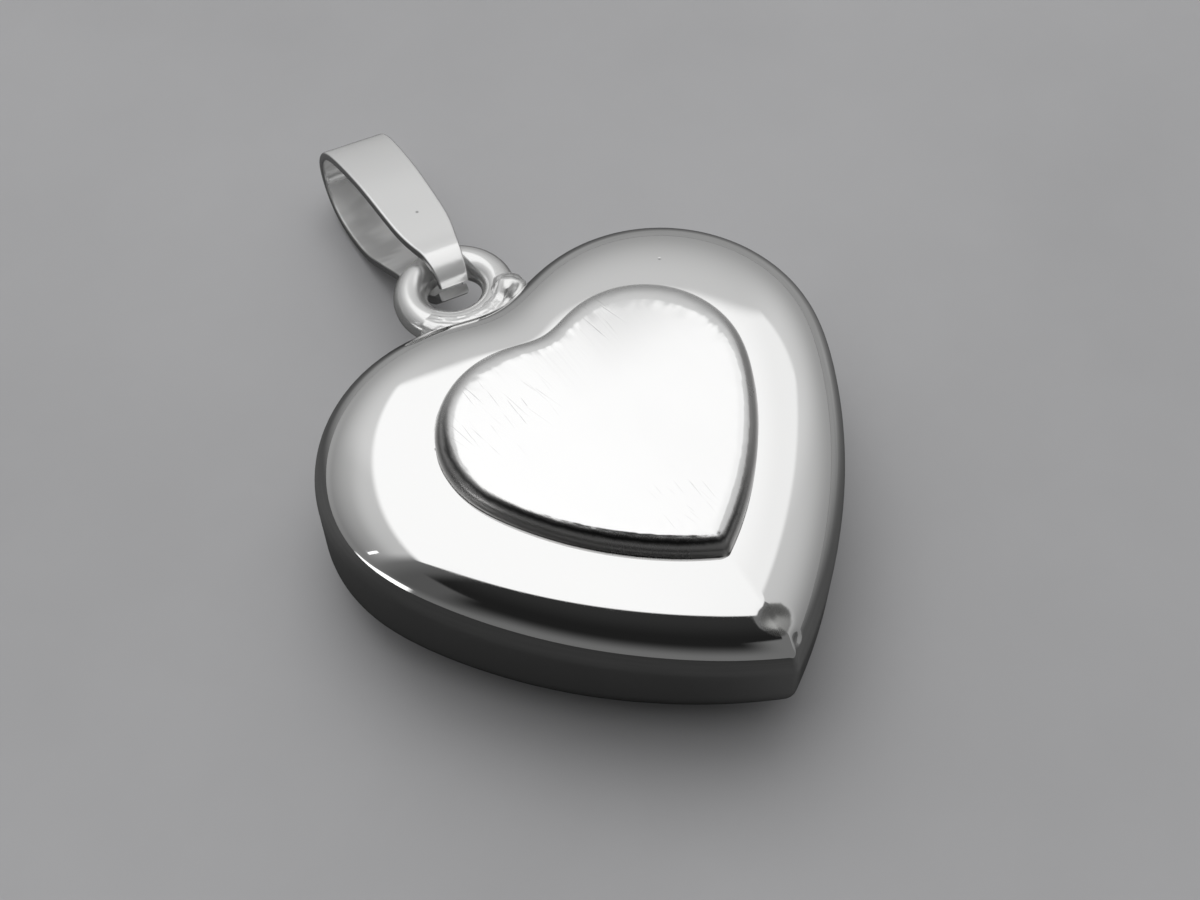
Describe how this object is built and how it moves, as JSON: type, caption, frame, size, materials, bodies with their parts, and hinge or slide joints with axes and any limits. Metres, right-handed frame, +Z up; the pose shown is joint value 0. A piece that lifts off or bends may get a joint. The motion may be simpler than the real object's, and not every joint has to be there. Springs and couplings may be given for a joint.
{
  "type": "heart pendant",
  "caption": "Hollow puffed heart pendant with a raised satin inner heart, a soldered eye ring at the cleft and a folded tapered bail, lying on its back.",
  "frame": {"origin": "centre of the pendant's bounding box in X and Y, at the level of the surface that it lies on", "axes": "+Z up out of the front of the heart, +Y from the tip of the heart towards the bail, +X to the right as the heart is read with its tip down"},
  "size_m": [0.022, 0.0335, 0.0083],
  "materials": {
    "polished_silver": "mirror-polished silver with faint handling marks",
    "satin_silver": "satin silver, brushed along the length of the heart, lightly scratched"
  },
  "bodies": {
    "root": {"heart_body": "polished_silver", "inner_heart": "satin_silver", "bail": "polished_silver"}
  },
  "joints": []
}
